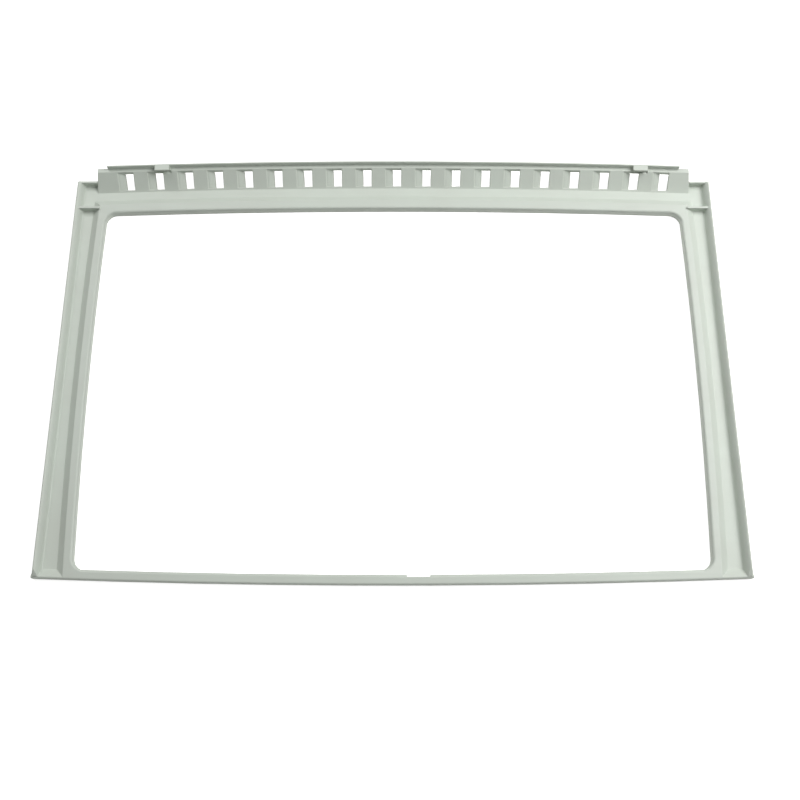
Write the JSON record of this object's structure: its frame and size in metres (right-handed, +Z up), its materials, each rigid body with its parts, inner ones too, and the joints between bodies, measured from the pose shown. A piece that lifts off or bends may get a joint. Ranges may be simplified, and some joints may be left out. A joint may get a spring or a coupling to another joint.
{
  "type": "refrigerator shelf frame",
  "caption": "Moulded plastic refrigerator shelf frame with one large opening, sunken side channels, and an inclined rear wall with slanted-vane air windows, lip and hooks.",
  "frame": {"origin": "middle of the frame's width and depth, on the plane that the base rests on", "axes": "+X to the right as seen from the front, +Y from the front rail to the air windows, +Z up"},
  "size_m": [0.603, 0.3948, 0.0197],
  "materials": {
    "shelf_plastic": "fine moulded satin"
  },
  "bodies": {
    "root": {"shelf_frame": "shelf_plastic"}
  },
  "joints": []
}
